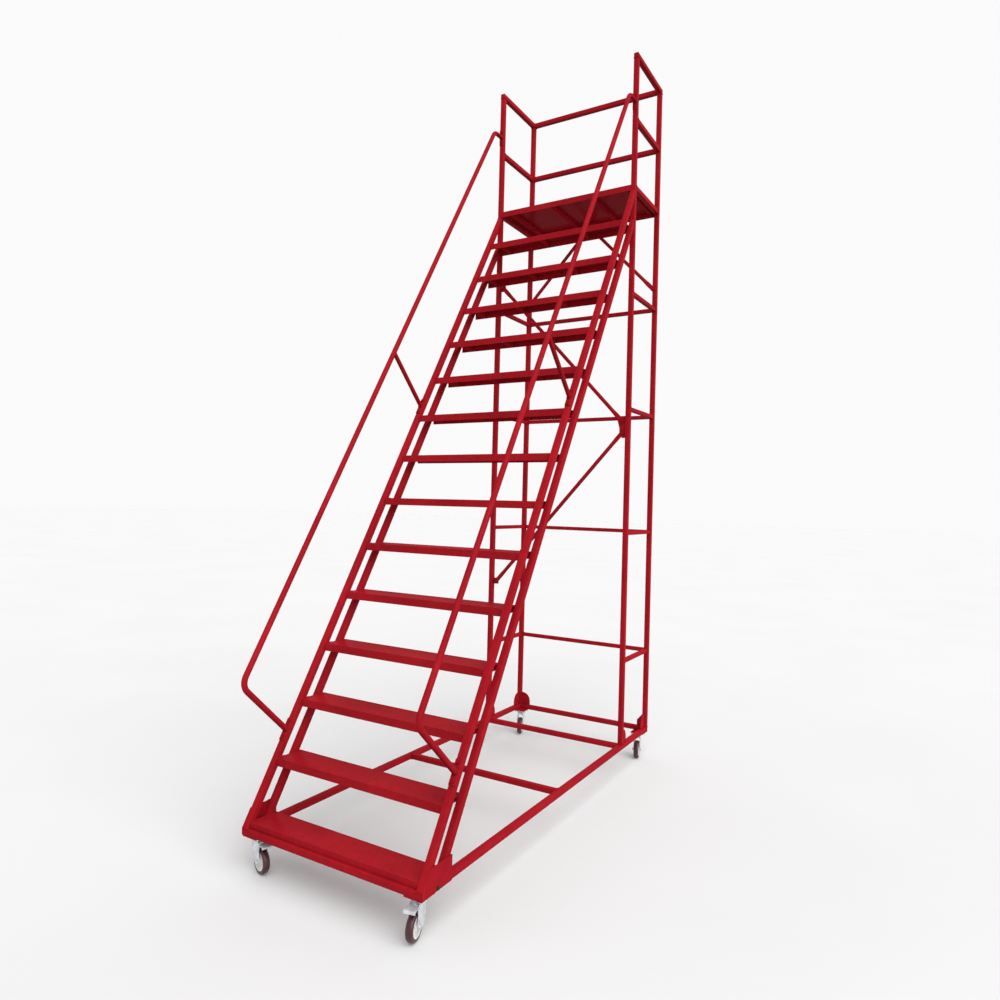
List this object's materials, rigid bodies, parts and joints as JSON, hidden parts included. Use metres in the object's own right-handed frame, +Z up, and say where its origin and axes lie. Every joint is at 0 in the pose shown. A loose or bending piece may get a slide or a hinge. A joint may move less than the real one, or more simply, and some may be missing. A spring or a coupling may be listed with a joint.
{
  "type": "mobile ladder stand",
  "caption": "Tall rolling ladder stand with open-riser steps between twin stringers, a guard-railed platform on a braced tube tower, and a swivel-caster base.",
  "frame": {"origin": "middle of the footprint on the floor, under the casters", "axes": "+Z up, +Y the climbing direction from the bottom step to the platform, +X to the climber's right"},
  "size_m": [1.0286, 2.6284, 4.615],
  "materials": {
    "red_paint": "gloss",
    "zinc_plate": "satin",
    "wheel_polymer": "satin"
  },
  "bodies": {
    "frame": {"step_01": "red_paint", "step_02": "red_paint", "step_03": "red_paint", "step_04": "red_paint", "step_05": "red_paint", "step_06": "red_paint", "step_07": "red_paint", "step_08": "red_paint", "step_09": "red_paint", "step_10": "red_paint", "step_11": "red_paint", "step_12": "red_paint", "step_13": "red_paint", "step_14": "red_paint", "platform_deck": "red_paint", "rear_tie_1": "red_paint", "rear_tie_2": "red_paint", "rear_tie_3": "red_paint", "rear_tie_4": "red_paint", "guard_mid_rear": "red_paint", "guard_top_rear": "red_paint", "side_frame_left": "red_paint", "guard_mid_left": "red_paint", "guard_top_left": "red_paint", "stringer_front_left": "red_paint", "stringer_back_left": "red_paint", "base_gusset_left": "red_paint", "base_rail_left": "red_paint", "handrail_left": "red_paint", "knee_brace_left": "red_paint", "side_frame_right": "red_paint", "guard_mid_right": "red_paint", "guard_top_right": "red_paint", "stringer_front_right": "red_paint", "stringer_back_right": "red_paint", "base_gusset_right": "red_paint", "base_rail_right": "red_paint", "handrail_right": "red_paint", "knee_brace_right": "red_paint", "front_beam": "red_paint", "base_tie_front": "red_paint", "base_tie_tower": "red_paint", "base_tie_rear": "red_paint", "brace_upper": "red_paint", "brace_lower": "red_paint", "brace_gusset": "red_paint", "caster_plate_front_left": "zinc_plate", "caster_plate_front_right": "zinc_plate", "caster_plate_rear_left": "zinc_plate", "caster_plate_rear_right": "zinc_plate"},
    "fork_front_left": {"caster_fork_front_left": "zinc_plate"},
    "wheel_front_left": {"caster_wheel_front_left": "wheel_polymer"},
    "pedal_front_left": {"brake_pedal_front_left": "zinc_plate"},
    "fork_front_right": {"caster_fork_front_right": "zinc_plate"},
    "wheel_front_right": {"caster_wheel_front_right": "wheel_polymer"},
    "pedal_front_right": {"brake_pedal_front_right": "zinc_plate"},
    "fork_rear_left": {"caster_fork_rear_left": "zinc_plate"},
    "wheel_rear_left": {"caster_wheel_rear_left": "wheel_polymer"},
    "fork_rear_right": {"caster_fork_rear_right": "zinc_plate"},
    "wheel_rear_right": {"caster_wheel_rear_right": "wheel_polymer"}
  },
  "joints": [
    {"name": "swivel_front_left", "type": "hinge", "parent": "frame", "child": "fork_front_left", "pos_m": [-0.46, -1.21678, 0.16], "axis": [0, 0, 1], "continuous": true},
    {"name": "axle_front_left", "type": "hinge", "parent": "fork_front_left", "child": "wheel_front_left", "pos_m": [-0.42155, -1.22781, 0.0575], "axis": [0.2756, 0.9613, 0], "continuous": true},
    {"name": "brake_front_left", "type": "hinge", "parent": "fork_front_left", "child": "pedal_front_left", "pos_m": [-0.41001, -1.23111, 0.136], "axis": [0.2756, 0.9613, 0], "range_deg": [0, 12]},
    {"name": "swivel_front_right", "type": "hinge", "parent": "frame", "child": "fork_front_right", "pos_m": [0.46, -1.21678, 0.16], "axis": [0, 0, 1], "continuous": true},
    {"name": "axle_front_right", "type": "hinge", "parent": "fork_front_right", "child": "wheel_front_right", "pos_m": [0.469, -1.25575, 0.0575], "axis": [0.9744, 0.225, 0], "continuous": true},
    {"name": "brake_front_right", "type": "hinge", "parent": "fork_front_right", "child": "pedal_front_right", "pos_m": [0.4717, -1.26745, 0.136], "axis": [0.9744, 0.225, 0], "range_deg": [0, 12]},
    {"name": "swivel_rear_left", "type": "hinge", "parent": "frame", "child": "fork_rear_left", "pos_m": [-0.46, 1.26422, 0.16], "axis": [0, 0, 1], "continuous": true},
    {"name": "axle_rear_left", "type": "hinge", "parent": "fork_rear_left", "child": "wheel_rear_left", "pos_m": [-0.44632, 1.22663, 0.0575], "axis": [0.9397, 0.342, 0], "continuous": true},
    {"name": "swivel_rear_right", "type": "hinge", "parent": "frame", "child": "fork_rear_right", "pos_m": [0.46, 1.26422, 0.16], "axis": [0, 0, 1], "continuous": true},
    {"name": "axle_rear_right", "type": "hinge", "parent": "fork_rear_right", "child": "wheel_rear_right", "pos_m": [0.46832, 1.22509, 0.0575], "axis": [0.9781, 0.2079, 0], "continuous": true}
  ]
}
